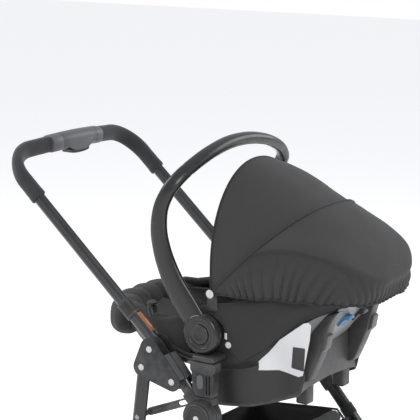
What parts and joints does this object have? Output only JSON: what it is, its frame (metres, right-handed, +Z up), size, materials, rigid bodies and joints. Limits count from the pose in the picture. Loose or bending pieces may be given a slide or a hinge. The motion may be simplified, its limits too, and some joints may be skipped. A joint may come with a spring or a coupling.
{
  "type": "travel system stroller",
  "caption": "Folding stroller chassis with a bent push handle, swivelling front wheels, a storage basket and an infant carrier with hood and carry handle clipped on adapter posts.",
  "frame": {"origin": "on the ground, under the middle of the whole stroller's box", "axes": "+Z up; -Y is the direction of travel, so the push handle is at +Y; +X is the stroller's left side"},
  "size_m": [0.6048, 0.8844, 1.0734],
  "materials": {
    "tube": "dark satin powder coat",
    "housing": "fine-grained satin",
    "console": "satin",
    "grip": "matt foam",
    "rim": "satin",
    "tyre": "matt",
    "carrier_plastic": "fine-grained satin",
    "fabric": "woven, matt",
    "padding": "padded, woven",
    "webbing": "woven webbing",
    "guide": "satin",
    "release": "satin"
  },
  "bodies": {
    "chassis": {"front_leg_right": "tube", "front_leg_left": "tube", "lower_tube_right": "tube", "lower_tube_left": "tube", "hub_housing_right": "housing", "hub_housing_left": "housing", "hub_cap_right": "housing", "hub_cap_left": "housing", "adapter_post_right": "housing", "adapter_post_left": "housing", "hinge_bracket_right": "housing", "hinge_bracket_left": "housing", "caster_housing_right": "housing", "caster_housing_left": "housing", "front_crossbar": "tube", "basket": "fabric"},
    "push_handle": {"handle_tube": "tube", "handle_console": "console", "grip_foam_right": "grip", "grip_foam_left": "grip"},
    "trigger": {"fold_trigger": "housing"},
    "sleeves": {"lock_sleeve_right": "housing", "lock_sleeve_left": "housing"},
    "rear_frame": {"rear_leg_right": "tube", "rear_leg_left": "tube", "rear_fitting_right": "housing", "rear_fitting_left": "housing", "rear_cross_rod": "tube"},
    "fold_link_right": {"fold_link_right": "housing"},
    "brake_right": {"brake_lever_right": "housing"},
    "rear_wheel_right": {"rear_right_rim": "rim", "rear_right_tyre": "tyre"},
    "caster_right": {"caster_fork_right": "housing"},
    "front_wheel_right": {"front_right_rim": "rim", "front_right_tyre": "tyre"},
    "adapter_release_right": {"adapter_button_right": "carrier_plastic"},
    "fold_link_left": {"fold_link_left": "housing"},
    "brake_left": {"brake_lever_left": "housing"},
    "rear_wheel_left": {"rear_left_rim": "rim", "rear_left_tyre": "tyre"},
    "caster_left": {"caster_fork_left": "housing"},
    "front_wheel_left": {"front_left_rim": "rim", "front_left_tyre": "tyre"},
    "adapter_release_left": {"adapter_button_left": "carrier_plastic"},
    "carrier": {"carrier_shell": "carrier_plastic", "seat_cover": "fabric", "carrier_base": "carrier_plastic", "seat_pad": "padding", "hood_rear": "fabric", "harness": "webbing", "harness_buckle": "housing", "belt_guide_right": "guide", "belt_guide_left": "guide", "hood_mount_right": "carrier_plastic", "hood_mount_left": "carrier_plastic"},
    "hood": {"hood_front": "fabric"},
    "carry_handle": {"carry_handle": "carrier_plastic"},
    "hub_release_right": {"hub_button_right": "carrier_plastic"},
    "hub_release_left": {"hub_button_left": "carrier_plastic"},
    "buckle_release": {"buckle_button": "release"}
  },
  "joints": [
    {"name": "handle_fold", "type": "hinge", "parent": "chassis", "child": "push_handle", "pos_m": [0, 0.0219, 0.647], "axis": [-1, 0, 0], "range_deg": [0, 105]},
    {"name": "rear_fold", "type": "hinge", "parent": "chassis", "child": "rear_frame", "pos_m": [0, 0.0425, 0.605], "axis": [-1, 0, 0], "range_deg": [0, 30]},
    {"name": "trigger_pull", "type": "slide", "parent": "push_handle", "child": "trigger", "axis": [0, 0, 1], "range_m": [0, 0.006], "stiffness_N_per_m": 500},
    {"name": "sleeve_slide", "type": "slide", "parent": "push_handle", "child": "sleeves", "axis": [0, 0.7453, 0.6668], "range_m": [0, 0.008]},
    {"name": "fold_link_right_pivot", "type": "hinge", "parent": "rear_frame", "child": "fold_link_right", "pos_m": [-0.20545, 0.05566, 0.49196], "axis": [1, 0, 0], "range_deg": [0, 20.98]},
    {"name": "brake_press_right", "type": "hinge", "parent": "rear_frame", "child": "brake_right", "pos_m": [-0.252, 0.1339, 0.152], "axis": [-1, 0, 0], "range_deg": [0, 20]},
    {"name": "rear_wheel_spin_right", "type": "hinge", "parent": "rear_frame", "child": "rear_wheel_right", "pos_m": [-0.2835, 0.1589, 0.117], "axis": [1, 0, 0], "continuous": true},
    {"name": "caster_swivel_right", "type": "hinge", "parent": "chassis", "child": "caster_right", "pos_m": [-0.203, -0.3751, 0.2], "axis": [0, 0, 1], "continuous": true},
    {"name": "front_wheel_spin_right", "type": "hinge", "parent": "caster_right", "child": "front_wheel_right", "pos_m": [-0.203, -0.3291, 0.08], "axis": [1, 0, 0], "continuous": true},
    {"name": "adapter_press_right", "type": "slide", "parent": "chassis", "child": "adapter_release_right", "axis": [1, 0, 0], "range_m": [0, 0.003], "stiffness_N_per_m": 400},
    {"name": "fold_link_left_pivot", "type": "hinge", "parent": "rear_frame", "child": "fold_link_left", "pos_m": [0.20545, 0.05566, 0.49196], "axis": [1, 0, 0], "range_deg": [0, 20.98]},
    {"name": "brake_press_left", "type": "hinge", "parent": "rear_frame", "child": "brake_left", "pos_m": [0.252, 0.1339, 0.152], "axis": [-1, 0, 0], "range_deg": [0, 20]},
    {"name": "rear_wheel_spin_left", "type": "hinge", "parent": "rear_frame", "child": "rear_wheel_left", "pos_m": [0.2835, 0.1589, 0.117], "axis": [1, 0, 0], "continuous": true},
    {"name": "caster_swivel_left", "type": "hinge", "parent": "chassis", "child": "caster_left", "pos_m": [0.203, -0.3751, 0.2], "axis": [0, 0, 1], "continuous": true},
    {"name": "front_wheel_spin_left", "type": "hinge", "parent": "caster_left", "child": "front_wheel_left", "pos_m": [0.203, -0.3291, 0.08], "axis": [1, 0, 0], "continuous": true},
    {"name": "adapter_press_left", "type": "slide", "parent": "chassis", "child": "adapter_release_left", "axis": [-1, 0, 0], "range_m": [0, 0.003], "stiffness_N_per_m": 400},
    {"name": "carrier_lift", "type": "slide", "parent": "chassis", "child": "carrier", "axis": [0, 0, 1], "range_m": [0, 0.12]},
    {"name": "hood_fold", "type": "hinge", "parent": "carrier", "child": "hood", "pos_m": [0, -0.1031, 0.775], "axis": [1, 0, 0], "range_deg": [0, 30]},
    {"name": "carry_handle_turn", "type": "hinge", "parent": "carrier", "child": "carry_handle", "pos_m": [0, -0.0841, 0.688], "axis": [-1, 0, 0], "range_deg": [0, 35]},
    {"name": "hub_press_right", "type": "slide", "parent": "carry_handle", "child": "hub_release_right", "axis": [1, 0, 0], "range_m": [0, 0.003], "stiffness_N_per_m": 400},
    {"name": "hub_press_left", "type": "slide", "parent": "carry_handle", "child": "hub_release_left", "axis": [-1, 0, 0], "range_m": [0, 0.003], "stiffness_N_per_m": 400},
    {"name": "buckle_press", "type": "slide", "parent": "carrier", "child": "buckle_release", "axis": [0, 0, -1], "range_m": [0, 0.003], "stiffness_N_per_m": 400}
  ],
  "couplings": [
    {"joint": "rear_fold", "follows": "handle_fold", "ratio": 0.28571},
    {"joint": "sleeve_slide", "follows": "trigger_pull", "ratio": 1.3333},
    {"joint": "fold_link_right_pivot", "follows": "handle_fold", "ratio": 0.19934},
    {"joint": "fold_link_left_pivot", "follows": "handle_fold", "ratio": 0.19934}
  ]
}
